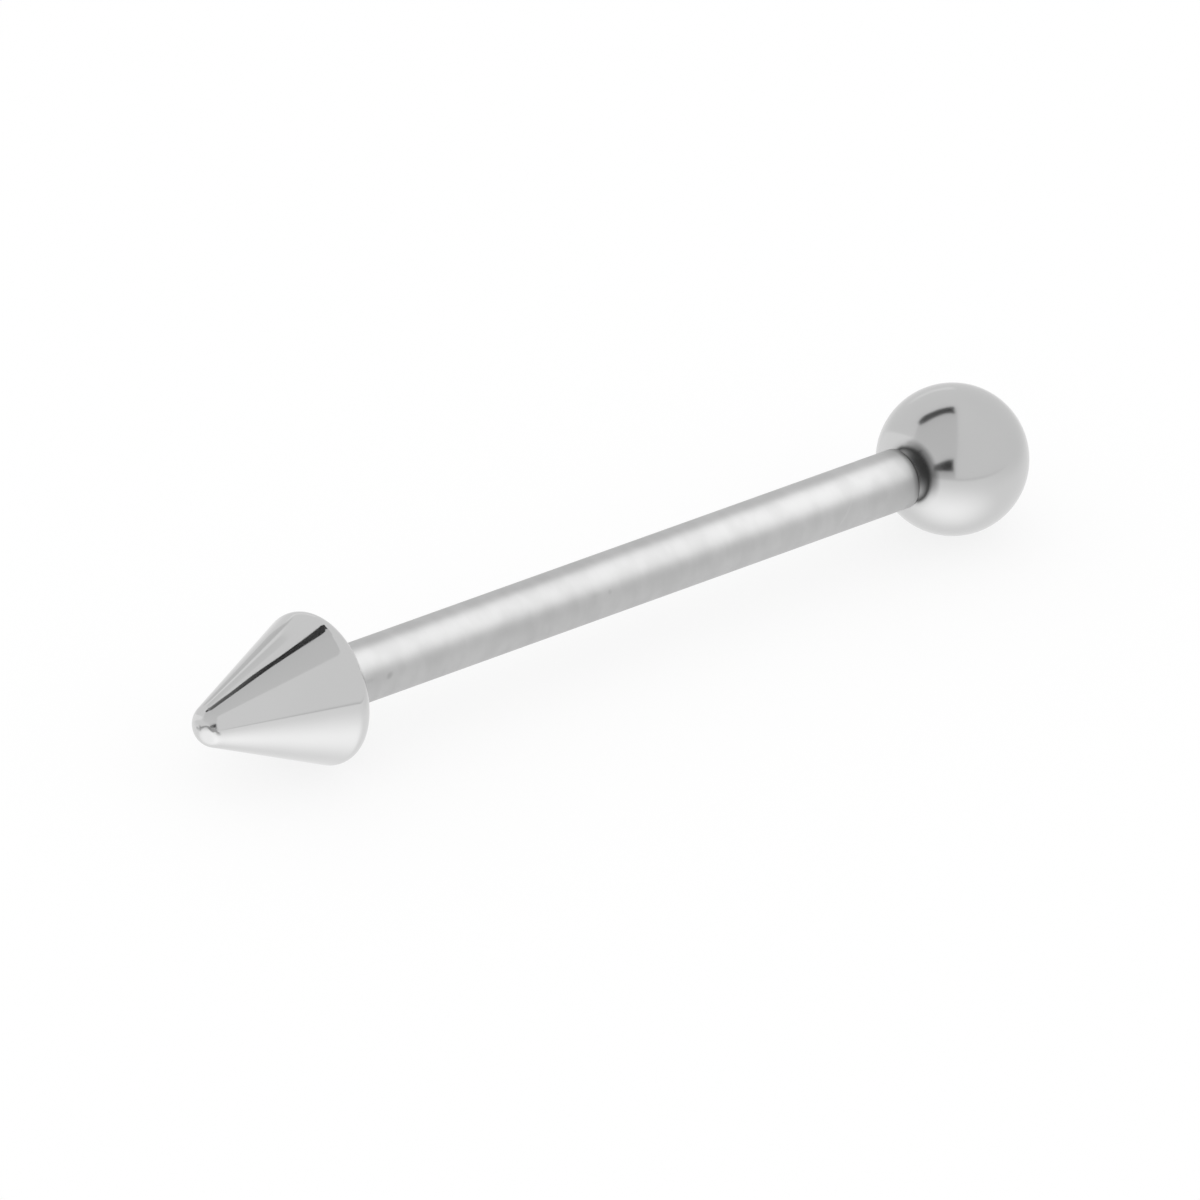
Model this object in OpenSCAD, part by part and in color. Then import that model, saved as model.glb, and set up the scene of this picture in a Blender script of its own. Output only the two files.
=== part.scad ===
// Straight piercing barbell lying on its side: a plain bar along X with a ball screwed on its +X end
// and a blunt cone screwed on its -X end. Millimetres, +Z up, standing on the plane z = 0.

/* [Bar] */
// Diameter of the plain shaft
bar_d = 1.6; // [1.2:0.1:1.8]
// Length of the plain shaft between the cone and the ball
bar_l = 19; // [8:1:40]
// Width of the broken edge at each end of the shaft
bar_edge = 0.03; // [0.01:0.01:0.04]

/* [Ball] */
// Diameter of the ball
ball_d = 4; // [3.5:0.5:6]

/* [Cone] */
// Diameter of the cone across its rim
cone_d = 4; // [3.5:0.5:5]
// Height of the cone from its base to its nose
cone_h = 4.1; // [3.8:0.1:6]
// Radius of the rounded nose
nose_r = 0.6; // [0.3:0.05:0.7]
// Radius of the rounded rim round the base
rim_r = 0.35; // [0.1:0.05:0.45]

/* [Thread] */
// How far the crest of the thread lies below the surface of the shaft
thread_step = 0.05; // [0.04:0.01:0.1]
// Depth of the thread from crest to root
thread_depth = 0.17; // [0.1:0.01:0.2]
// Distance from one turn of the thread to the next
thread_pitch = 0.35; // [0.25:0.05:0.4]
// Length of the threaded stub beyond the shaft
stub_l = 2.2; // [1.2:0.1:2.3]
// Length of the plain neck between the shaft and the first turn
neck_l = 0.2; // [0.1:0.05:0.3]
// Clearance round the thread in the tapped holes, on the radius
hole_clear = 0.04; // [0.02:0.01:0.1]
// Room between the end of the stub and the bottom of its hole
hole_spare = 0.15; // [0.05:0.05:0.2]
// Gap between each end of the shaft and the piece screwed up to it
seat_gap = 0.03; // [0.01:0.01:0.1]

/* [Hidden] */

steel = [0.78, 0.79, 0.80];
bright_steel = [0.84, 0.85, 0.86];

bar_r = bar_d / 2;
ball_r = ball_d / 2;
cone_r = cone_d / 2;

// The thread, the neck just inside its root, and the holes that take the stubs
crest_r = bar_r - thread_step;
root_r = crest_r - thread_depth;
neck_r = root_r - 0.02;
hole_r = crest_r + hole_clear;
hole_l = stub_l + hole_spare;

// One turn of the thread, wound in flat sides: radius, and height as a share of the pitch
thread_sides = 16;
thread_turn = [[root_r, 0], [root_r, 0.2], [crest_r, 0.48], [crest_r, 0.72]];
turn_rows = len(thread_turn);
// Turns wound for a stub, with spare ones past both ends to be cut off
thread_turns = ceil(stub_l / thread_pitch) + 2;

// Centres of the circles at the cone's rim and nose, and the angle at which its straight side faces out
rim_c = [cone_r - rim_r, rim_r];
nose_c = [0, cone_h - nose_r];
rim_to_nose = nose_c - rim_c;
side_angle = atan2(rim_to_nose.y, rim_to_nose.x) - acos((rim_r - nose_r) / norm(rim_to_nose));

// Places along the bar, measured from the middle of the whole
mouth_h = sqrt(ball_r * ball_r - hole_r * hole_r);
whole_l = cone_h + seat_gap + bar_l + seat_gap + mouth_h + ball_r;
cone_x = cone_h - whole_l / 2;
bar_x = cone_x + seat_gap;
ball_x = bar_x + bar_l + seat_gap + mouth_h;
axis_z = max(ball_r, cone_r);

// Puts a shape that stands along +Z along +X, its foot at the given place on the bar's line
module along_bar(x) {
    translate([x, 0, axis_z]) rotate([0, 90, 0]) children();
}

// Point on the thread's skin, in a row that climbs one pitch as it goes once round
function thread_point(row, side) =
    let (step = thread_turn[row % turn_rows],
         angle = 360 * side / thread_sides,
         turn = floor(row / turn_rows) + step[1] + side / thread_sides)
    [step[0] * cos(angle), step[0] * sin(angle), thread_pitch * turn];

// Right-hand thread as one closed skin, wound from below z = 0 to past the end of the stub
module thread_skin() {
    rows = thread_turns * turn_rows;
    sides = thread_sides;
    // The last row of each side runs on into the next turn of the first side
    function at(row, side) = side < sides ? row * sides + side : (row + turn_rows) * sides;
    skin = [for (row = [0 : rows - 1], side = [0 : sides - 1]) each [
        [at(row, side), at(row + 1, side), at(row, side + 1)],
        [at(row + 1, side), at(row + 1, side + 1), at(row, side + 1)]]];
    foot = (rows + turn_rows + 1) * sides;
    points = [for (row = [0 : rows + turn_rows], side = [0 : sides - 1]) thread_point(row, side)];
    foot_fan = [for (side = [0 : sides - 1]) [foot, at(0, side), at(0, side + 1)]];
    foot_step = [for (row = [0 : turn_rows - 1]) [foot, at(row + 1, 0), at(row, 0)]];
    head_fan = [for (side = [0 : sides - 1]) [foot + 1, at(rows, side + 1), at(rows, side)]];
    head_step = [for (row = [rows : rows + turn_rows - 1]) [foot + 1, at(row, 0), at(row + 1, 0)]];
    translate([0, 0, -1.5 * thread_pitch])
    polyhedron(points = concat(points, [[0, 0, 0], [0, 0, thread_pitch * (thread_turns + 1)]]),
               faces = concat(skin, foot_fan, foot_step, head_fan, head_step));
}

// Threaded stub standing on z = 0: a plain neck, then the thread, cut flat at both ends
module stub() {
    translate([0, 0, -bar_edge]) cylinder(r = neck_r, h = neck_l + 2 * bar_edge, $fn = 64);
    intersection() {
        thread_skin();
        translate([0, 0, neck_l]) cylinder(r = bar_r, h = stub_l - neck_l, $fn = 64);
    }
}

// Plain shaft with a broken edge at each end
module shaft() {
    rotate_extrude($fn = 96)
    polygon([[0, 0], [bar_r - bar_edge, 0], [bar_r, bar_edge], [bar_r, bar_l - bar_edge],
             [bar_r - bar_edge, bar_l], [0, bar_l]]);
}

// Blind hole for a stub, its mouth at z = 0, going up
module tapped_hole() {
    translate([0, 0, -bar_r]) cylinder(r = hole_r, h = hole_l + bar_r, $fn = 64);
}

module bar() {
    color(steel) along_bar(bar_x) {
        shaft();
        translate([0, 0, bar_l]) stub();
        rotate([180, 0, 0]) stub();
    }
}

module ball() {
    color(bright_steel) along_bar(ball_x) difference() {
        sphere(d = ball_d, $fn = 96);
        translate([0, 0, -mouth_h]) tapped_hole();
    }
}

// Half outline of the cone: a straight side that touches one circle at the rim and one at the nose
module cone_outline() {
    side = [cos(side_angle), sin(side_angle)];
    intersection() {
        union() {
            polygon([[0, 0], [rim_c.x, 0], rim_c + rim_r * side, nose_c + nose_r * side, nose_c]);
            translate(rim_c) circle(r = rim_r, $fn = 64);
            translate(nose_c) circle(r = nose_r, $fn = 64);
        }
        square([cone_r, cone_h]);
    }
}

module cone() {
    color(bright_steel) along_bar(cone_x) mirror([0, 0, 1]) difference() {
        rotate_extrude($fn = 96) cone_outline();
        tapped_hole();
    }
}

bar();
ball();
cone();
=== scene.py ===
"""Looks of a straight piercing barbell: a ground steel bar with a polished ball on one end and a polished
cone on the other. It lies on a pale floor in a small light tent. Metres, X along the bar and Z up.
"""

import math

import bpy
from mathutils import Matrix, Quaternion, Vector


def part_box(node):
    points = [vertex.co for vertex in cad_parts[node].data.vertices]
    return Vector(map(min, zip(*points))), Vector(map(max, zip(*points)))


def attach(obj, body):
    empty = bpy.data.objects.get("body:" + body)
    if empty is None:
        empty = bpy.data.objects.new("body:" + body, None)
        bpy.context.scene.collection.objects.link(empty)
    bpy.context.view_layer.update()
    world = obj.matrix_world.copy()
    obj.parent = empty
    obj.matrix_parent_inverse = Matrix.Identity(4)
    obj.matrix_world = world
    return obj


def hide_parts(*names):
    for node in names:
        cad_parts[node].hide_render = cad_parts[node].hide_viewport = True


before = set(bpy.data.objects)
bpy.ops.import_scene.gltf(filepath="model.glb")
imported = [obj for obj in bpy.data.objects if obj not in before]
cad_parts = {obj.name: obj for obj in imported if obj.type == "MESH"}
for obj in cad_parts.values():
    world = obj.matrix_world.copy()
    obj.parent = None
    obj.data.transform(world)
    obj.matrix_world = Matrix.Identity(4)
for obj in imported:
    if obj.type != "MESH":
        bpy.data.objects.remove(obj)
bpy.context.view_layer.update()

MM = 0.001

# Places of the solids: the line of the bar, and each piece along it
bar_low, bar_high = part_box("bar")
ball_low, ball_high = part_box("ball")
cone_low, cone_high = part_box("cone")
AXIS_Z = (ball_low.z + ball_high.z) / 2
BAR_R = (bar_high.z - bar_low.z) / 2
BALL_R = (ball_high.z - ball_low.z) / 2
BALL_X = ball_high.x - BALL_R
CONE_R = (cone_high.z - cone_low.z) / 2

# The thread: where its flanks rise and fall and how long each is, as shares of the pitch
ROOT_R = 0.58 * MM
CREST_R = 0.75 * MM
PITCH = 0.35 * MM
RISE_AT = 0.20
FALL_AT = 0.72
FLANK = 0.28

# The threaded stubs, with a plain neck by the shaft, and the tapped holes
STUB_L = 2.2 * MM
NECK_L = 0.2 * MM
NECK_R = 0.56 * MM
RUN_OUT = 0.3 * MM
STUB_CHAMFER = 0.14 * MM
HOLE_L = 2.35 * MM
HOLE_CLEAR = 0.03 * MM
MOUTH_R = 0.79 * MM
MOUTH_EDGE = 0.006 * MM
MOUTH_DEPTH = 0.006 * MM
DRILL_POINT = 0.12 * MM

# The shaft. Its ends are drawn out to the ball and the cone by TIGHTENED, and each stub is as much shorter.
SHAFT_EDGE = 0.006 * MM
BAR_MIDDLE = (bar_low.x + bar_high.x) / 2
TIGHTENED = 0.027 * MM
SHAFT_HALF = (bar_high.x - bar_low.x) / 2 - STUB_L + TIGHTENED
STUB_OUT = STUB_L - TIGHTENED

# The cone's rounded nose and rim
NOSE_R = 0.6 * MM
RIM_R = 0.35 * MM
NOSE_CENTRE = Vector((cone_low.x + NOSE_R, 0, AXIS_Z))

# The small worn flat on the nose: its way out, its depth, and the softness of its edge
FLAT_WAY = Vector((-0.845, -0.490, -0.170))
FLAT_DEPTH = 0.04 * MM
FLAT_EDGE = 0.03 * MM

# How finely the skins are made
BAR_SIDES = 112
END_SIDES = 144
TURN_ROWS = 18
SHAFT_ROWS = 24
CONE_ROWS = 40
BALL_STEP = math.radians(2)
ARC_STEP = math.radians(5)
NOSE_STEP = math.radians(1.5)
EDGE_STEP = math.radians(15)
EDGE_ANGLE = math.radians(32)

# The camera: its way from the object, its tilt about its own line, and the point that it looks at
CAMERA_AZIMUTH = math.radians(-42.546)
CAMERA_ELEVATION = math.radians(31.2)
CAMERA_ROLL = math.radians(5.629)
CAMERA_LENS = 420
CAMERA_DISTANCE = 356.08 * MM
CAMERA_CLIP = 10 * MM
CAMERA_AIM = Vector((-0.710, -0.374, 1.870)) * MM

# Level directions in the studio: towards the camera, and to its right
TOWARDS = Vector((math.sin(CAMERA_AZIMUTH), -math.cos(CAMERA_AZIMUTH), 0))
RIGHTWARDS = Vector((-TOWARDS.y, TOWARDS.x, 0))


def ring(x, radius, sides):
    """Points round the bar's line at x. The radius is a size, or a function of the angle."""
    points = []
    for side in range(sides):
        angle = 2 * math.pi * side / sides
        r = radius(angle) if callable(radius) else radius
        points.append((x, r * math.cos(angle), AXIS_Z + r * math.sin(angle)))
    return points


def skin(name, rings, first_x, last_x):
    """Closed skin through rings of points, ended in a point on the bar's line at first_x and last_x."""
    sides = len(rings[0])
    points = [point for row in rings for point in row]
    first = len(points)
    last = first + 1
    points += [(first_x, 0, AXIS_Z), (last_x, 0, AXIS_Z)]
    last_row = (len(rings) - 1) * sides
    faces = []
    for side in range(sides):
        after = (side + 1) % sides
        faces.append((first, after, side))
        faces.append((last, last_row + side, last_row + after))
        for row in range(0, last_row, sides):
            faces.append((row + side, row + after, row + sides + after, row + sides + side))
    mesh = bpy.data.meshes.new(name)
    mesh.from_pydata(points, [], faces)
    if first_x > last_x:
        mesh.flip_normals()
    mesh.shade_smooth()
    mesh.set_sharp_from_angle(angle=EDGE_ANGLE)
    piece = bpy.data.objects.new(name, mesh)
    bpy.context.scene.collection.objects.link(piece)
    return piece


def arc(centre_x, centre_r, radius, start, end, most=ARC_STEP):
    """Places (x, radius) along an arc of a turned outline, its angles measured from +X."""
    steps = max(2, math.ceil(abs(end - start) / most))
    places = []
    for step in range(steps + 1):
        angle = start + (end - start) * step / steps
        places.append((centre_x + radius * math.cos(angle), centre_r + radius * math.sin(angle)))
    return places


def smooth_step(value):
    """0 below 0, 1 above 1, and a soft rise between them."""
    t = min(1, max(0, value))
    return t * t * (3 - 2 * t)


def thread_radius(x, angle):
    """Radius of the right-hand thread: flat roots and crests with sloped sides between them."""
    phase = (x / PITCH - angle / (2 * math.pi)) % 1
    rise = smooth_step((phase - RISE_AT) / FLANK) - smooth_step((phase - FALL_AT) / FLANK)
    return ROOT_R + (CREST_R - ROOT_R) * rise


def stub_radius(x, out, angle):
    """Radius of a stub at x, at a distance out from the shaft's end: neck, thread, and bevelled tip."""
    run = smooth_step((out - NECK_L) / RUN_OUT)
    bevel = CREST_R - STUB_CHAMFER + STUB_OUT - out
    return min(CREST_R, bevel, NECK_R + (thread_radius(x, angle) - NECK_R) * run)


def stub_rings(way):
    """Rings of one end of the bar, from the shaft's broken edge to the stub's tip; way is 1 or -1."""
    def place(out):
        return BAR_MIDDLE + way * (SHAFT_HALF + out)

    edge = arc(-SHAFT_EDGE, BAR_R - SHAFT_EDGE, SHAFT_EDGE, math.pi / 2, 0, EDGE_STEP)
    foot = arc(SHAFT_EDGE, NECK_R + SHAFT_EDGE, SHAFT_EDGE, math.pi, 1.5 * math.pi, EDGE_STEP)
    rings = [ring(place(out), radius, BAR_SIDES) for out, radius in edge + foot]

    rows = math.ceil((STUB_OUT - NECK_L) / PITCH * TURN_ROWS)
    for row in range(rows + 1):
        out = NECK_L + (STUB_OUT - NECK_L) * row / rows
        x = place(out)
        rings.append(ring(x, lambda angle: stub_radius(x, out, angle), BAR_SIDES))
    return rings


def make_bar():
    """Plain shaft with a threaded stub at each end."""
    shaft = []
    for row in range(1, SHAFT_ROWS):
        x = BAR_MIDDLE + (SHAFT_HALF - SHAFT_EDGE) * (2 * row / SHAFT_ROWS - 1)
        shaft.append(ring(x, BAR_R, BAR_SIDES))
    rings = stub_rings(-1)[::-1] + shaft + stub_rings(1)
    return skin("shaft_and_threads", rings, bar_low.x, bar_high.x)


def hole_rings(mouth_x, way):
    """Rings of a tapped hole, from the bevel at its mouth to its bottom; way is the way in, 1 or -1."""
    rings = []
    rows = math.ceil(HOLE_L / PITCH * TURN_ROWS)
    for row in range(1, rows + 1):
        deep = HOLE_L * row / rows
        x = mouth_x + way * deep
        lead_in = MOUTH_R - deep
        rings.append(ring(x, lambda angle: max(lead_in, thread_radius(x, angle) + HOLE_CLEAR), END_SIDES))
    return rings


def make_ball():
    """Ball with a tapped hole that faces the bar."""
    mouth_turn = math.pi - math.asin((MOUTH_R + MOUTH_EDGE) / BALL_R)
    steps = math.ceil(mouth_turn / BALL_STEP)
    rings = []
    for step in range(1, steps + 1):
        turn = mouth_turn * step / steps
        rings.append(ring(BALL_X + BALL_R * math.cos(turn), BALL_R * math.sin(turn), END_SIDES))
    mouth_x = BALL_X + BALL_R * math.cos(mouth_turn) + MOUTH_DEPTH
    rings.append(ring(mouth_x, MOUTH_R, END_SIDES))
    rings += hole_rings(mouth_x, 1)
    return skin("polished_ball", rings, ball_high.x, mouth_x + HOLE_L + DRILL_POINT)


def wear_nose(piece):
    """Wears the small flat into the cone's nose."""
    way = FLAT_WAY.normalized()
    for vertex in piece.data.vertices:
        proud = (vertex.co - NOSE_CENTRE).dot(way) - (NOSE_R - FLAT_DEPTH)
        if proud > FLAT_EDGE:
            vertex.co -= way * proud
        elif proud > -FLAT_EDGE:
            vertex.co -= way * (proud + FLAT_EDGE) ** 2 / (4 * FLAT_EDGE)


def make_cone():
    """Blunt cone with a rounded nose and rim and a tapped hole in its flat base."""
    nose_x = cone_low.x + NOSE_R
    rim_x = cone_high.x - RIM_R
    rim_c = CONE_R - RIM_R
    run = Vector((rim_x - nose_x, rim_c))
    slope = math.atan2(run.y, run.x) + math.asin((RIM_R - NOSE_R) / run.length)
    side = math.pi / 2 + slope
    outline = arc(nose_x, 0, NOSE_R, math.pi, side, NOSE_STEP)[1:]
    start = Vector(outline[-1])
    rim = arc(rim_x, rim_c, RIM_R, side, 0)
    end = Vector(rim[0])
    for row in range(1, CONE_ROWS):
        outline.append(tuple(start.lerp(end, row / CONE_ROWS)))
    outline += rim
    mouth_x = cone_high.x - MOUTH_DEPTH
    outline += [(cone_high.x, MOUTH_R + MOUTH_EDGE), (mouth_x, MOUTH_R)]
    rings = [ring(x, radius, END_SIDES) for x, radius in outline]
    rings += hole_rings(mouth_x, -1)
    piece = skin("polished_cone", rings, cone_low.x, mouth_x - HOLE_L - DRILL_POINT)
    wear_nose(piece)
    return piece


def add_node(tree, kind, inputs=(), **settings):
    """New shader node. Each input is a value, or another node's output to join to it."""
    made = tree.nodes.new("ShaderNode" + kind)
    for name, value in settings.items():
        setattr(made, name, value)
    for key, value in dict(inputs).items():
        if isinstance(value, bpy.types.NodeSocket):
            tree.links.new(value, made.inputs[key])
        else:
            made.inputs[key].default_value = value
    return made


def maths(tree, operation, first, second=0.0):
    """Output of a Math node."""
    return add_node(tree, "Math", {0: first, 1: second}, operation=operation).outputs[0]


def spread(tree, value, low, high, to_low=0.0, to_high=1.0):
    """Turns low to high softly into to_low to to_high, and holds the ends past them."""
    inputs = {"Value": value, "From Min": low, "From Max": high, "To Min": to_low, "To Max": to_high}
    return add_node(tree, "MapRange", inputs, interpolation_type="SMOOTHSTEP").outputs["Result"]


def grey(value):
    """A neutral colour."""
    return (value, value, value, 1)


def steel(name):
    """New steel material: its node tree and its shader."""
    material = bpy.data.materials.new(name)
    material.use_nodes = True
    tree = material.node_tree
    shader = tree.nodes["Principled BSDF"]
    shader.inputs["Metallic"].default_value = 1
    return material, tree, shader


def noise(tree, scale, detail, squeeze=(1, 1, 1)):
    """Noise in the piece's own space: scale to the metre, detail, and how it is squeezed on each axis."""
    place = add_node(tree, "TexCoord").outputs["Object"]
    mapped = add_node(tree, "Mapping", {"Vector": place, "Scale": squeeze})
    inputs = {"Vector": mapped.outputs["Vector"], "Scale": scale, "Detail": detail}
    return add_node(tree, "TexNoise", inputs).outputs["Fac"]


# The range that noise mostly stays in
NOISE_RANGE = (0.3, 0.7)


def vary(tree, value, low, high):
    """Turns noise into a value between low and high."""
    return spread(tree, value, *NOISE_RANGE, low, high)


def paint(tree, shader, value, roughness):
    """Joins a grey and a roughness to the shader."""
    colour = add_node(tree, "CombineColor", {0: value, 1: value, 2: value}).outputs[0]
    tree.links.new(colour, shader.inputs["Base Color"])
    tree.links.new(roughness, shader.inputs["Roughness"])


def bump(tree, shader, height, distance):
    """Raises the surface by the height times the distance."""
    made = add_node(tree, "Bump", {"Height": height, "Distance": distance, "Strength": 1.0})
    tree.links.new(made.outputs["Normal"], shader.inputs["Normal"])


# Marks on the shaft: place along the bar, distance up round it from its -Y side, half sizes along and round
# it, how far it leans, and how much lighter it is. Each is even in its core, a share of its half size.
SHAFT_MARKS = [(-0.73 * MM, 0.32 * MM, 0.09 * MM, 0.10 * MM, 0, -0.07),
               (-1.15 * MM, 0.35 * MM, 0.25 * MM, 0.08 * MM, 0, -0.025),
               (-7.95 * MM, 0.21 * MM, 0.14 * MM, 0.13 * MM, -0.4, -0.11),
               (-8.60 * MM, 0.25 * MM, 0.22 * MM, 0.08 * MM, 0, -0.04),
               (7.19 * MM, 0.12 * MM, 0.07 * MM, 0.45 * MM, -0.75, 0.03)]
MARK_CORE = 0.2

# Painted shade on the shaft's top by the ball: a faint painted shadow of the ball (the haze), and a dark
# painted reflection of the joint at the shaft's end (the dark edge). How far round from the -Y side its
# middle is, where its haze and its dark edge start, how dark each gets, and how fast it ends past the shaft.
# It fades out round the shaft, and is full where the cosine of the turn from its middle is over the last
# number below.
PAINTED_SHADE_TURN = math.radians(50)
PAINTED_SHADE_START = SHAFT_HALF - 0.7 * MM
PAINTED_SHADE_EDGE = SHAFT_HALF - 0.20 * MM
PAINTED_SHADOW_DARK = -0.08
PAINTED_REFLECTION_DARK = -0.22
PAINTED_SHADE_END = 0.05 * MM
PAINTED_SHADE_FULL = 0.9


def shaft_marks_and_painted_shade(tree):
    """How much lighter the shaft is at its few marks, and how much darker at its painted shade by the ball.
    """
    place = add_node(tree, "SeparateXYZ", {0: add_node(tree, "TexCoord").outputs["Object"]})
    up = maths(tree, "SUBTRACT", place.outputs["Z"], AXIS_Z)
    turn = maths(tree, "ARCTAN2", up, maths(tree, "MULTIPLY", place.outputs["Y"], -1))
    round_bar = maths(tree, "MULTIPLY", turn, BAR_R)

    along = maths(tree, "SUBTRACT", place.outputs["X"], BAR_MIDDLE)
    # Painted shade: the haze is a painted shadow of the ball, the dark edge a painted reflection of the
    # joint
    haze = spread(tree, along, PAINTED_SHADE_START, SHAFT_HALF, 0, PAINTED_SHADOW_DARK)
    painted_shade = maths(tree, "ADD", haze, spread(tree, along, PAINTED_SHADE_EDGE, SHAFT_HALF, 0, PAINTED_REFLECTION_DARK))
    on_shaft = spread(tree, along, SHAFT_HALF, SHAFT_HALF + PAINTED_SHADE_END, 1, 0)
    level = maths(tree, "COSINE", maths(tree, "SUBTRACT", turn, PAINTED_SHADE_TURN))
    upper = maths(tree, "MULTIPLY", spread(tree, level, 0, PAINTED_SHADE_FULL), on_shaft)
    total = maths(tree, "MULTIPLY", painted_shade, upper)
    for x, rise, half_length, half_width, lean, lighter in SHAFT_MARKS:
        across = maths(tree, "SUBTRACT", round_bar, rise)
        leaning = maths(tree, "MULTIPLY", across, lean)
        along = maths(tree, "ADD", maths(tree, "SUBTRACT", place.outputs["X"], x), leaning)
        away_x = maths(tree, "DIVIDE", along, half_length)
        away_y = maths(tree, "DIVIDE", across, half_width)
        vector = add_node(tree, "CombineXYZ", {"X": away_x, "Y": away_y}).outputs[0]
        away = add_node(tree, "VectorMath", {0: vector}, operation="LENGTH").outputs["Value"]
        total = maths(tree, "ADD", total, spread(tree, away, MARK_CORE, 1, lighter, 0))
    return total


# The bar's steel: the scale, detail and squeeze of its fine marks, mottling and broad waves, how much each
# changes its grey, how rough it is over the range of its fine marks, and how high each raises it
FINE = (900, 3, (12, 1, 1))
MOTTLE = (2000, 2, (1, 0.6, 0.6))
BROAD = (260, 2, (1, 0.4, 0.4))
BAR_GREY = (0.55, 0.58)
MOTTLE_GREY = 0.02
FINE_GREY = 0.006
BAR_ROUGH = (0.43, 0.47)
FINE_RANGE = (0.25, 0.75)
BROAD_HEIGHT = 0.006 * MM
MOTTLE_HEIGHT = 0.001 * MM
FINE_HEIGHT = 0.00008 * MM


def ground_steel():
    """Steel ground round the bar and lightly polished: mottling, fine marks round it and a few specks."""
    material, tree, shader = steel("ground_steel")
    fine = noise(tree, *FINE)
    mottle = noise(tree, *MOTTLE)
    broad = noise(tree, *BROAD)
    value = maths(tree, "ADD", vary(tree, fine, -FINE_GREY, FINE_GREY), vary(tree, broad, *BAR_GREY))
    value = maths(tree, "ADD", value, vary(tree, mottle, -MOTTLE_GREY, MOTTLE_GREY))
    # The shaft's own marks, and the painted shade by the ball
    value = maths(tree, "ADD", value, shaft_marks_and_painted_shade(tree))
    paint(tree, shader, value, spread(tree, fine, *FINE_RANGE, *BAR_ROUGH))
    waves = maths(tree, "MULTIPLY", broad, BROAD_HEIGHT)
    ripples = maths(tree, "MULTIPLY", mottle, MOTTLE_HEIGHT)
    grinding = maths(tree, "MULTIPLY", fine, FINE_HEIGHT)
    bump(tree, shader, maths(tree, "ADD", maths(tree, "ADD", waves, ripples), grinding), 1)
    return material


# The cone's nose: a painted reflection, a dark line painted above its flat where the tent's dark gap shows
# wavy in the nose, which noise makes uneven; and the rougher place round the flat. Angles are from the way
# of the flat, as the nose's centre sees them. The line is on the upper half alone, and fades in until the Z
# of the way out is the rise set below.
LINE_NOISE = (5000, 2)
LINE_NOISE_RANGE = (0.35, 0.65)
LINE_RISE = 0.2
LINE_TURN = math.radians(30)
LINE_WAVE = math.radians(4)
LINE_HALF = math.radians(8)
PAINTED_LINE_DARK = -0.38
ROUGH_INNER = math.radians(30)
ROUGH_OUTER = math.radians(75)
ROUGH_MORE = 0.14


def nose_painted_line_and_rough_place(tree):
    """The painted dark line on the cone's nose, a painted reflection of the tent's dark gap, and the rougher
    place round it, each 0 elsewhere.
    """
    place = add_node(tree, "TexCoord").outputs["Object"]
    offset = add_node(tree, "VectorMath", {0: place, 1: NOSE_CENTRE}, operation="SUBTRACT").outputs[0]
    way = add_node(tree, "VectorMath", {0: offset}, operation="NORMALIZE").outputs[0]
    facing = {0: way, 1: FLAT_WAY.normalized()}
    level = add_node(tree, "VectorMath", facing, operation="DOT_PRODUCT").outputs["Value"]
    turn = maths(tree, "ARCCOSINE", level)
    uneven = noise(tree, *LINE_NOISE)
    wave = spread(tree, uneven, *LINE_NOISE_RANGE, LINE_TURN - LINE_WAVE, LINE_TURN + LINE_WAVE)
    away = maths(tree, "ABSOLUTE", maths(tree, "SUBTRACT", turn, wave))
    upper = spread(tree, add_node(tree, "SeparateXYZ", {0: way}).outputs["Z"], 0, LINE_RISE)
    painted_line = maths(tree, "MULTIPLY", spread(tree, away, 0, LINE_HALF, 1, 0), upper)
    return painted_line, spread(tree, turn, ROUGH_INNER, ROUGH_OUTER, 1, 0)


# The polished steels: the scale and detail of their haze and of their faint marks, how the marks are
# squeezed so that they run round the piece, how much they vary, and each piece's grey and least roughness
HAZE = (420, 3)
MARKS = (700, 2)
MARKS_RANGE = (0.3, 0.75)
BALL_SQUEEZE = (1, 1, 3)
CONE_SQUEEZE = (6, 1, 1)
HAZE_GREY = 0.01
MARKS_ROUGH = 0.02
MARKS_HEIGHT = 0.0001 * MM
BALL_GREY = 0.67
BALL_ROUGH = 0.14
CONE_GREY = 0.73
CONE_ROUGH = 0.065


def mirror_steel(name, middle, rough, squeeze, painted_line_and_rough=False):
    """Mirror-polished steel round a middle grey, with faint marks."""
    material, tree, shader = steel(name)
    haze = noise(tree, *HAZE)
    lines = noise(tree, *MARKS, squeeze)
    value = vary(tree, haze, middle - HAZE_GREY, middle + HAZE_GREY)
    roughness = spread(tree, lines, *MARKS_RANGE, rough, rough + MARKS_ROUGH)
    if painted_line_and_rough:
        painted_line, near = nose_painted_line_and_rough_place(tree)
        # Painted reflection: the dark line where the tent's gap shows in the nose
        value = maths(tree, "ADD", value, maths(tree, "MULTIPLY", painted_line, PAINTED_LINE_DARK))
        roughness = maths(tree, "ADD", roughness, maths(tree, "MULTIPLY", near, ROUGH_MORE))
    paint(tree, shader, value, roughness)
    bump(tree, shader, lines, MARKS_HEIGHT)
    return material


def direction(azimuth, elevation):
    """Unit vector for degrees to the right of the way to the camera, and degrees above the horizon."""
    turn, rise = math.radians(azimuth), math.radians(elevation)
    level = TOWARDS * math.cos(turn) + RIGHTWARDS * math.sin(turn)
    return level * math.cos(rise) + Vector((0, 0, math.sin(rise)))


# The light tent, as the polished pieces mirror it, and the even white that all else gets. Brightness is in
# scene units, angles in degrees.
TENT_GLOW = 0.76
EVEN_GLOW = 1.0

# The tent is darker just over the table, round HORIZON_RIGHT: fully in the core, less and less to the reach
HORIZON_GLOW = 0.60
HORIZON_RIGHT = 10
HORIZON_CORE = 30
HORIZON_REACH = 95
HORIZON_TOP = 3

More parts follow.
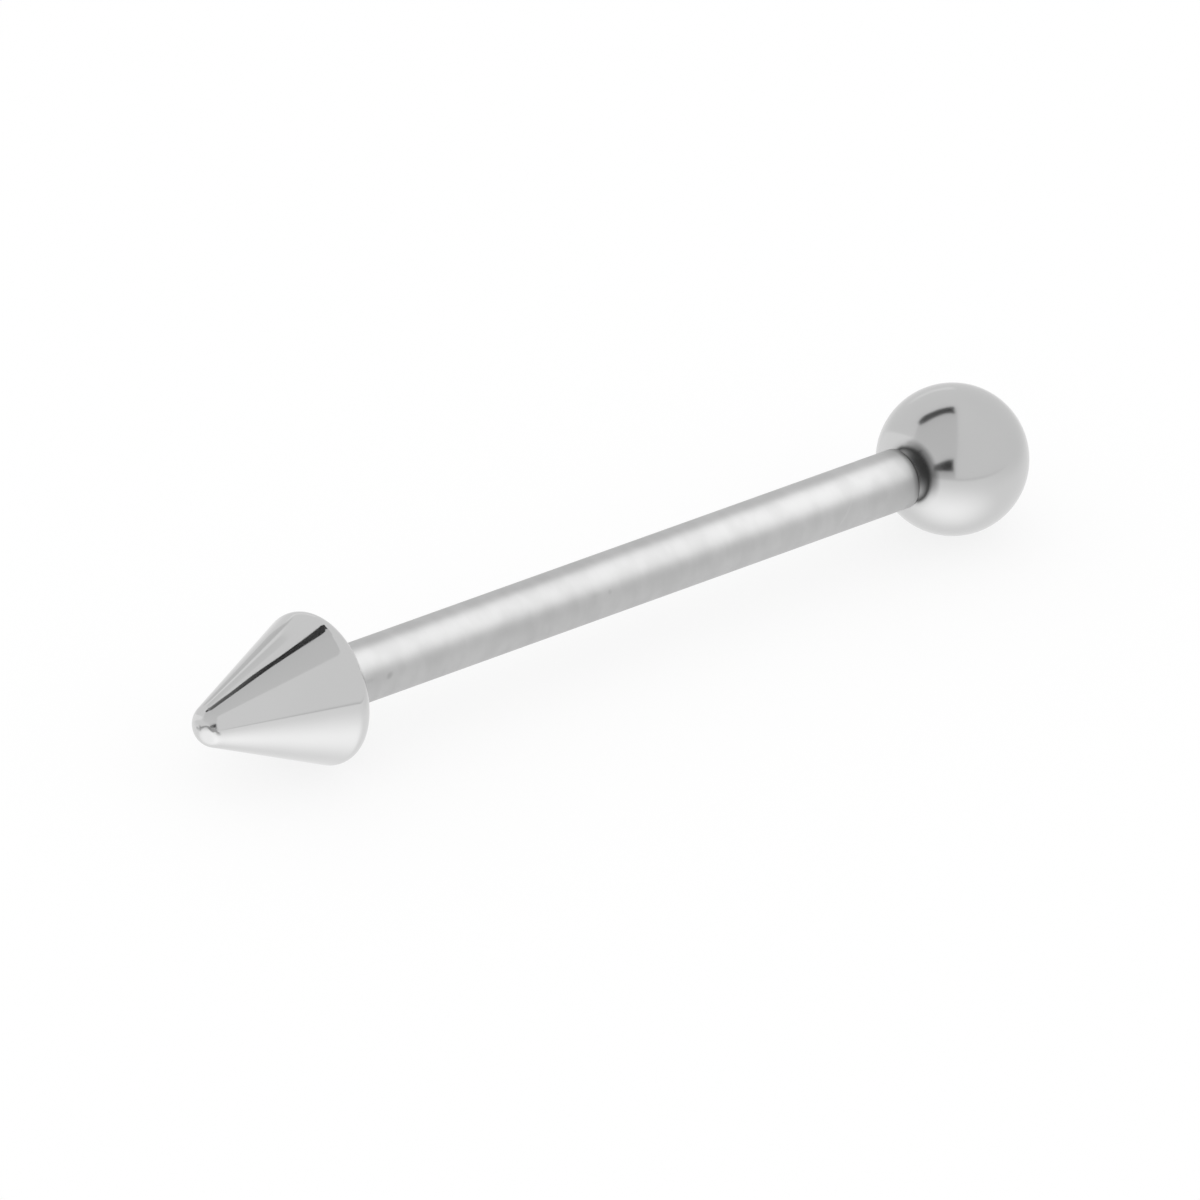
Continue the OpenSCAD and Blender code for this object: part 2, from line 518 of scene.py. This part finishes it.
# The table: its far edge is soft between EDGE_HIGH and EDGE_LOW, its brightness turns from the edge's to
# its own between TABLE_FAR and TABLE_NEAR, and a wide pool of light lies on it
TABLE_EDGE_GLOW = 0.84
TABLE_GLOW = 0.87
EDGE_HIGH = -0.5
EDGE_LOW = -1.5
TABLE_FAR = -2
TABLE_NEAR = -26
POOL_GLOW = 0.39
POOL_RISE = -54
POOL_REACH = 54
POOL_WIDTH = 1.4


def lobe(tree, way, right, rise, inner, outer):
    """1 within inner degrees of a direction, and softly down to 0 at outer degrees from it."""
    level = math.cos(math.radians(rise))
    centre = (level * math.sin(math.radians(right)), -level * math.cos(math.radians(right)),
              math.sin(math.radians(rise)))
    dot = add_node(tree, "VectorMath", {0: way, 1: centre}, operation="DOT_PRODUCT").outputs["Value"]
    away = maths(tree, "MULTIPLY", maths(tree, "ARCCOSINE", dot), 180 / math.pi)
    return spread(tree, away, inner, outer, 1, 0)


def blend(tree, share, first, second):
    """Output of a Mix node for numbers: first where share is 0, second where it is 1."""
    return add_node(tree, "Mix", {"Factor": share, 2: first, 3: second}, data_type="FLOAT").outputs[0]


def make_tent():
    """World light: gloss mirrors a pale tent round a lit table, and all else gets an even white."""
    world = bpy.data.worlds.new("light_tent")
    bpy.context.scene.world = world
    world.use_nodes = True
    tree = world.node_tree
    tree.nodes.clear()

    # Studio axes: X to the camera's right, Y away from it, Z up
    turn = {"Vector": add_node(tree, "TexCoord").outputs["Generated"], "Angle": -CAMERA_AZIMUTH}
    way = add_node(tree, "VectorRotate", turn, rotation_type="Z_AXIS").outputs[0]
    level = add_node(tree, "SeparateXYZ", {0: way}).outputs["Z"]
    rise = maths(tree, "MULTIPLY", maths(tree, "ARCSINE", level), 180 / math.pi)

    front = lobe(tree, way, HORIZON_RIGHT, 0, HORIZON_CORE, HORIZON_REACH)
    tent = spread(tree, rise, 0, HORIZON_TOP, blend(tree, front, TENT_GLOW, HORIZON_GLOW), TENT_GLOW)
    edge = blend(tree, front, TENT_GLOW, TABLE_EDGE_GLOW)
    narrow = {0: way, 1: (1 / POOL_WIDTH, 1, 1)}
    wide = add_node(tree, "VectorMath", narrow, operation="MULTIPLY").outputs[0]
    wide = add_node(tree, "VectorMath", {0: wide}, operation="NORMALIZE").outputs[0]
    pool = maths(tree, "MULTIPLY", lobe(tree, wide, 0, POOL_RISE, 0, POOL_REACH), POOL_GLOW)
    table = maths(tree, "ADD", pool, spread(tree, rise, TABLE_NEAR, TABLE_FAR, TABLE_GLOW, edge))
    room = blend(tree, spread(tree, rise, EDGE_LOW, EDGE_HIGH, 1, 0), tent, table)

    glossy = add_node(tree, "LightPath").outputs["Is Glossy Ray"]
    light = {"Color": grey(1), "Strength": blend(tree, glossy, EVEN_GLOW, room)}
    add_node(tree, "OutputWorld", {"Surface": add_node(tree, "Background", light).outputs[0]})


# Cards in the tent: how far off they stand, and the corners of each, as degrees to the right of the camera,
# degrees up, and brightness. A nearer card covers a farther one.
FAR = 2.0
NEAR = 0.3
NEARER = 0.27
PANEL = [(-106, 42, 0.62), (-178, 68, 0.60), (6, 14, 0.70), (-70, 20, 0.68)]
SEAM = [(-110, 40, 0.09), (-119, 45, 0.05), (-130, 54, 0.01), (-148, 60, 0.03), (-175, 62, 0.03),
        (-174, 76, 0.03), (-150, 72, 0.03), (-126, 67, 0.01), (-110, 59, 0.05), (-102, 50, 0.08),
        (-101, 43, 0.09)]
LENS_GAP = [(2, 32, 0.02), (-7, 30, 0.02), (-18, 24, 0.04), (-28, 17, 0.14), (-26, 9, 0.12),
            (-11, 12, 0.04), (4, 14, 0.02)]
LENS_SHADE = [(6, 15, 0.46), (-26, 11, 0.46), (-28, -3, 0.64), (8, 0, 0.66)]
BACK_GLOW = [(-150, 5, 0.86), (-152, 12, 0.86), (-178, 19, 0.88), (-178, 11, 0.88)]
SIDE_GLOW = [(-142, -14, 0.90), (-86, 28, 0.90), (-86, 12, 0.90), (-142, -28, 0.90)]

# Cards that stand close behind the cone. Their directions are from CONE_MIDDLE, which is UP over its middle.
BESIDE = 18 * MM
UP = 0.4 * CONE_R
CONE_MIDDLE = Vector(((cone_low.x + cone_high.x) / 2, 0, AXIS_Z + UP))
LOW_FOLD = [(-157, 0, 0.62), (-154, 15, 0.58), (-143, 16, 0.60), (-146, 1, 0.66)]
BRIGHT_FOLD = [(-152, 17, 0.82), (-150, 23, 0.82), (-140, 22, 0.82), (-142, 17, 0.82)]
HIGH_FOLD = [(-149, 25, 0.66), (-144, 43, 0.70), (-132, 42, 0.70), (-138, 24, 0.66)]

# Cards that stand over the cone: its own length of the seam, and just behind it two even cards that hide
# the far seam, as bright as the tent on one side of it and as the panel on the other
OVER = 10 * MM
BEHIND_SEAM = 11 * MM
CONE_SEAM = [(-121, 40, 0.30), (-125, 49, 0.26), (-125, 52, 0.16), (-131, 54, 0.02), (-137, 60, 0),
             (-144, 62, 0), (-152, 62, 0), (-168, 59, 0.03), (178, 53, 0.05), (168, 44, 0.07),
             (163, 56, 0.07), (-178, 66, 0.05), (-164, 72, 0.03), (-150, 74, 0), (-139, 72, 0),
             (-129, 69, 0), (-122, 63, 0.04), (-112, 63, 0.18), (-109, 61, 0.26), (-97, 46, 0.30)]
SEAM_TENT = [(-134, 50), (-140, 48), (-147, 49), (-165, 48), (-165, 61), (-158, 64), (-147, 66), (-139, 64),
             (-131, 58)]
SEAM_PANEL = [(-150, 70), (-166, 67), (178, 61), (164, 52), (150, 62), (150, 78), (-150, 84), (-140, 78)]
PANEL_GLOW = 0.61

# The dark collar over the bar's end, which the ball mirrors: painted shade, a dark card that stands in for
# the shade in the joint between bar and ball. It is darkest and widest towards COLLAR_SHADE, and its dark
# side ends where the cosine of the turn from there is under SHADE_END. For each ring: its radius, then its
# brightness and how much it covers, on the light side and on the dark side.
COLLAR_X = BALL_X - 2.5 * MM
COLLAR_SHADE = math.radians(130)
SHADE_END = 0.15
COLLAR = [(0.80 * MM, 0.60, 1, 0.08, 1), (0.98 * MM, 0.50, 1, 0.04, 1), (1.10 * MM, 0.28, 1, 0.04, 1),
          (1.22 * MM, 0.03, 1, 0.03, 1), (1.33 * MM, 0.06, 0.55, 0.04, 0.97),
          (1.42 * MM, 0.10, 0.2, 0.05, 0.82), (1.60 * MM, 0.10, 0.06, 0.05, 0.6),
          (1.88 * MM, 0.10, 0, 0.05, 0)]
COLLAR_SIDES = 64


def point_values(mesh, tree, name, values):
    """Stores a number for each point of the mesh. Returns the output of a node that reads it."""
    stored = mesh.attributes.new(name, "FLOAT", "POINT")
    stored.data.foreach_set("value", values)
    return add_node(tree, "Attribute", attribute_name=name).outputs["Fac"]


def stage_card(name, points, faces):
    """Puts a card in the studio that only gloss mirrors. Returns its mesh and its material's empty tree."""
    mesh = bpy.data.meshes.new(name)
    mesh.from_pydata(points, [], faces)
    material = bpy.data.materials.new(name)
    material.use_nodes = True
    material.node_tree.nodes.clear()
    mesh.materials.append(material)
    card = bpy.data.objects.new(name, mesh)
    bpy.context.scene.collection.objects.link(card)
    card.visible_camera = False
    card.visible_diffuse = False
    card.visible_transmission = False
    card.visible_shadow = False
    return mesh, material.node_tree


def make_card(name, corners, distance, centre=Vector()):
    """Flat luminous card, its corners at a distance from the centre."""
    points = [centre + direction(right, up) * distance for right, up, _ in corners]
    mesh, tree = stage_card(name, points, [range(len(corners))])
    glow = point_values(mesh, tree, "glow", [corner[2] for corner in corners])
    light = add_node(tree, "Emission", {"Color": grey(1), "Strength": glow}).outputs[0]
    add_node(tree, "OutputMaterial", {"Surface": light})


def evenly(corners, glow):
    """Corners of a card that is equally bright all over."""
    return [(right, up, glow) for right, up in corners]


def make_joint_shade_collar():
    """Dark card of painted shade round the bar by the ball, clear from behind, with a soft edge."""
    points = []
    glows = []
    covers = []
    faces = []
    for radius, light_glow, light_cover, dark_glow, dark_cover in COLLAR:
        points += ring(COLLAR_X, radius, COLLAR_SIDES)
        for side in range(COLLAR_SIDES):
            level = math.cos(2 * math.pi * side / COLLAR_SIDES - COLLAR_SHADE)
            shade = smooth_step((level - SHADE_END) / (1 - SHADE_END))
            glows.append(light_glow + (dark_glow - light_glow) * shade)
            covers.append(light_cover + (dark_cover - light_cover) * shade)
    for first in range(0, len(points) - COLLAR_SIDES, COLLAR_SIDES):
        for side in range(COLLAR_SIDES):
            after = (side + 1) % COLLAR_SIDES
            outer = first + COLLAR_SIDES
            faces.append((first + side, outer + side, outer + after, first + after))
    mesh, tree = stage_card("joint_shade_collar", points, faces)
    glow = point_values(mesh, tree, "glow", glows)
    cover = point_values(mesh, tree, "cover", covers)
    front = maths(tree, "SUBTRACT", 1, add_node(tree, "NewGeometry").outputs["Backfacing"])
    light = add_node(tree, "Emission", {"Color": grey(1), "Strength": glow}).outputs[0]
    clear = add_node(tree, "BsdfTransparent").outputs[0]
    surface = {0: maths(tree, "MULTIPLY", cover, front), 1: clear, 2: light}
    add_node(tree, "OutputMaterial", {"Surface": add_node(tree, "MixShader", surface).outputs[0]})


FLOOR_HALF = 3.0
FLOOR_SHINE = 0.76
FLOOR_GREY = 0.24


def make_floor():
    """Pale light table under the barbell. Most of its white is its own, so shadows on it are faint."""
    corners = [(-FLOOR_HALF, -FLOOR_HALF, 0), (FLOOR_HALF, -FLOOR_HALF, 0),
               (FLOOR_HALF, FLOOR_HALF, 0), (-FLOOR_HALF, FLOOR_HALF, 0)]
    mesh = bpy.data.meshes.new("floor")
    mesh.from_pydata(corners, [], [(0, 1, 2, 3)])
    material = bpy.data.materials.new("pale_floor")
    material.use_nodes = True
    shader = material.node_tree.nodes["Principled BSDF"]
    shader.inputs["Base Color"].default_value = grey(FLOOR_GREY)
    shader.inputs["Roughness"].default_value = 1
    shader.inputs["Specular IOR Level"].default_value = 0
    shader.inputs["Emission Color"].default_value = grey(1)
    shader.inputs["Emission Strength"].default_value = FLOOR_SHINE
    mesh.materials.append(material)
    floor = bpy.data.objects.new("floor", mesh)
    bpy.context.scene.collection.objects.link(floor)
    floor.visible_glossy = False


LAMP_POWER = 1.08
LAMP_WIDTH = math.radians(72)
LAMP_RIGHT = 122
LAMP_RISE = 39


def make_lamp(piece):
    """Broad soft lamp behind and above, for the ground bar alone."""
    data = bpy.data.lights.new("bar_lamp", "SUN")
    data.energy = LAMP_POWER
    data.angle = LAMP_WIDTH
    lamp = bpy.data.objects.new("bar_lamp", data)
    bpy.context.scene.collection.objects.link(lamp)
    lamp.rotation_euler = direction(LAMP_RIGHT, LAMP_RISE).to_track_quat("Z", "Y").to_euler()
    lit = bpy.data.collections.new("lit_by_bar_lamp")
    lit.objects.link(piece)
    lamp.light_linking.receiver_collection = lit


def make_camera():
    """Camera at the photograph's angle."""
    data = bpy.data.cameras.new("camera")
    data.lens = CAMERA_LENS
    data.clip_start = CAMERA_CLIP
    camera = bpy.data.objects.new("camera", data)
    bpy.context.scene.collection.objects.link(camera)
    back = TOWARDS * math.cos(CAMERA_ELEVATION) + Vector((0, 0, math.sin(CAMERA_ELEVATION)))
    camera.location = CAMERA_AIM + back * CAMERA_DISTANCE
    camera.rotation_mode = "QUATERNION"
    camera.rotation_quaternion = Quaternion(back, CAMERA_ROLL) @ (-back).to_track_quat("-Z", "Y")
    bpy.context.scene.camera = camera


def dress(piece, material, body):
    """Gives a piece its material and its body, and hides the solid that it stands for."""
    piece.data.materials.append(material)
    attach(piece, body)
    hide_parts(body)


make_camera()
make_floor()
make_tent()
make_card("back_glow", BACK_GLOW, FAR)
make_card("side_glow", SIDE_GLOW, FAR)
make_card("panel", PANEL, FAR)
make_card("lens_shade", LENS_SHADE, NEAR)
make_card("lens_gap", LENS_GAP, NEARER)
make_card("seam", SEAM, NEAR)
make_card("low_fold", LOW_FOLD, BESIDE, CONE_MIDDLE)
make_card("bright_fold", BRIGHT_FOLD, BESIDE, CONE_MIDDLE)
make_card("high_fold", HIGH_FOLD, BESIDE, CONE_MIDDLE)
make_card("cone_seam", CONE_SEAM, OVER, CONE_MIDDLE)
make_card("seam_tent", evenly(SEAM_TENT, TENT_GLOW), BEHIND_SEAM, CONE_MIDDLE)
make_card("seam_panel", evenly(SEAM_PANEL, PANEL_GLOW), BEHIND_SEAM, CONE_MIDDLE)
# The painted shade of the joint, which the ball mirrors
make_joint_shade_collar()

bar = make_bar()
ball = make_ball()
cone = make_cone()
dress(bar, ground_steel(), "bar")
dress(ball, mirror_steel("ball_polish", BALL_GREY, BALL_ROUGH, BALL_SQUEEZE), "ball")
dress(cone, mirror_steel("cone_polish", CONE_GREY, CONE_ROUGH, CONE_SQUEEZE, True), "cone")
make_lamp(bar)

bpy.context.scene.view_settings.view_transform = "Standard"
